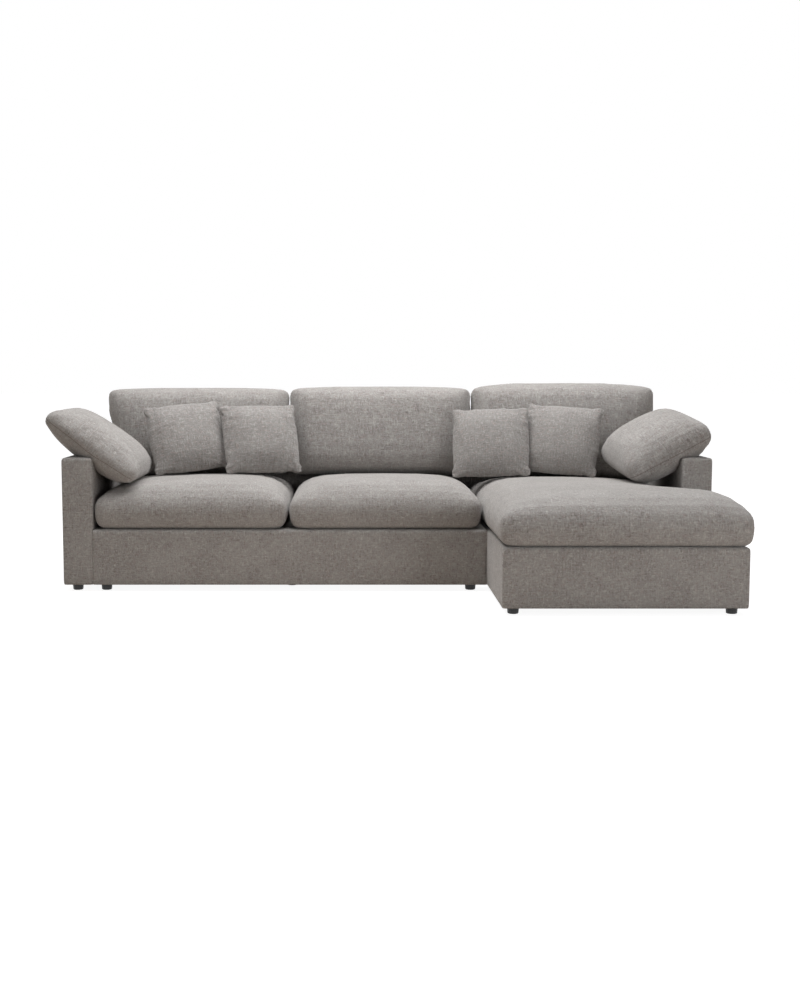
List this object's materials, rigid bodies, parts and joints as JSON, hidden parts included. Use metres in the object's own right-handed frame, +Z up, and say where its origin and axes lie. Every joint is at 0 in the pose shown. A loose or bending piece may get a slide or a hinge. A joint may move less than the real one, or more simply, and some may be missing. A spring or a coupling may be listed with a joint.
{
  "type": "corner sofa",
  "caption": "Low sofa with a chaise on its right: boxed arm and back panels, spring platforms, loose seat and back cushions, arm bolsters and throw pillows.",
  "frame": {"origin": "on the floor, under the middle of the sofa's bounding box", "axes": "+X to the right of someone who faces the sofa, the front faces -Y, +Z up"},
  "size_m": [2.9989, 1.64, 0.9295],
  "materials": {
    "upholstery": "slubby woven chenille in a warm grey",
    "deck_cloth": "plain dense cloth",
    "dust_cloth": "black bonded cloth",
    "timber": "unfinished pine and plywood",
    "spring_steel": "plain drawn wire and strip",
    "foot_plastic": "matt black"
  },
  "bodies": {
    "frame": {"left_arm_cover": "upholstery", "right_arm_cover": "upholstery", "seat_back_cover": "upholstery", "chaise_back_cover": "upholstery", "seat_platform_cover": "upholstery", "chaise_platform_cover": "upholstery", "seat_deck_cloth": "deck_cloth", "chaise_deck_cloth": "deck_cloth", "seat_dust_cloth": "dust_cloth", "chaise_dust_cloth": "dust_cloth", "left_arm_frame": "timber", "right_arm_frame": "timber", "seat_back_frame": "timber", "chaise_back_frame": "timber", "seat_front_board": "timber", "seat_rear_board": "timber", "seat_left_board": "timber", "seat_right_board": "timber", "seat_centre_board": "timber", "seat_front_batten": "timber", "seat_rear_batten": "timber", "chaise_front_board": "timber", "chaise_rear_board": "timber", "chaise_left_board": "timber", "chaise_right_board": "timber", "chaise_neck_board": "timber", "chaise_shoulder_board": "timber", "chaise_cross_board": "timber", "chaise_front_batten": "timber", "chaise_rear_batten": "timber", "seat_springs": "spring_steel", "chaise_springs": "spring_steel", "joining_plate_front": "spring_steel", "joining_plate_rear": "spring_steel", "left_arm_foot_front": "foot_plastic", "left_arm_foot_rear": "foot_plastic", "right_arm_foot_front": "foot_plastic", "right_arm_foot_rear": "foot_plastic", "seat_foot_front_left": "foot_plastic", "seat_foot_front_centre": "foot_plastic", "seat_foot_front_right": "foot_plastic", "seat_foot_rear_left": "foot_plastic", "seat_foot_rear_centre": "foot_plastic", "seat_foot_rear_right": "foot_plastic", "chaise_foot_front_left": "foot_plastic", "chaise_foot_front_right": "foot_plastic", "chaise_foot_rear_left": "foot_plastic", "chaise_foot_rear_right": "foot_plastic"},
    "left_seat": {"seat_cushion_left": "upholstery"},
    "centre_seat": {"seat_cushion_centre": "upholstery"},
    "long_seat": {"chaise_cushion": "upholstery"},
    "left_bolster": {"arm_bolster_left": "upholstery"},
    "right_bolster": {"arm_bolster_right": "upholstery"},
    "left_back": {"back_cushion_left": "upholstery"},
    "centre_back": {"back_cushion_centre": "upholstery"},
    "right_back": {"back_cushion_right": "upholstery"},
    "far_left_pillow": {"throw_pillow_far_left": "upholstery"},
    "left_pillow": {"throw_pillow_left": "upholstery"},
    "right_pillow": {"throw_pillow_right": "upholstery"},
    "far_right_pillow": {"throw_pillow_far_right": "upholstery"}
  },
  "joints": [
    {"name": "left_seat_pull_out", "type": "slide", "parent": "frame", "child": "left_seat", "axis": [0, -1, 0], "range_m": [0, 0.65]},
    {"name": "centre_seat_pull_out", "type": "slide", "parent": "frame", "child": "centre_seat", "axis": [0, -1, 0], "range_m": [0, 0.65]},
    {"name": "long_seat_pull_out", "type": "slide", "parent": "frame", "child": "long_seat", "axis": [0, -1, 0], "range_m": [0, 1.2]},
    {"name": "left_bolster_pull_off", "type": "slide", "parent": "left_seat", "child": "left_bolster", "axis": [0, -0.9684, 0.2496], "range_m": [0, 0.65]},
    {"name": "right_bolster_pull_off", "type": "slide", "parent": "long_seat", "child": "right_bolster", "axis": [0, -0.9684, 0.2496], "range_m": [0, 0.65]},
    {"name": "left_back_lift", "type": "slide", "parent": "frame", "child": "left_back", "axis": [0, 0.225, 0.9744], "range_m": [0, 0.4]},
    {"name": "centre_back_lift", "type": "slide", "parent": "frame", "child": "centre_back", "axis": [0, 0.225, 0.9744], "range_m": [0, 0.4]},
    {"name": "right_back_lift", "type": "slide", "parent": "frame", "child": "right_back", "axis": [0, 0.225, 0.9744], "range_m": [0, 0.4]},
    {"name": "far_left_pillow_lift", "type": "slide", "parent": "frame", "child": "far_left_pillow", "axis": [0, 0.225, 0.9744], "range_m": [0, 0.4]},
    {"name": "left_pillow_lift", "type": "slide", "parent": "far_left_pillow", "child": "left_pillow", "axis": [0, 0.225, 0.9744], "range_m": [0, 0.4]},
    {"name": "right_pillow_lift", "type": "slide", "parent": "far_right_pillow", "child": "right_pillow", "axis": [0, 0.225, 0.9744], "range_m": [0, 0.4]},
    {"name": "far_right_pillow_lift", "type": "slide", "parent": "frame", "child": "far_right_pillow", "axis": [0, 0.225, 0.9744], "range_m": [0, 0.4]}
  ]
}
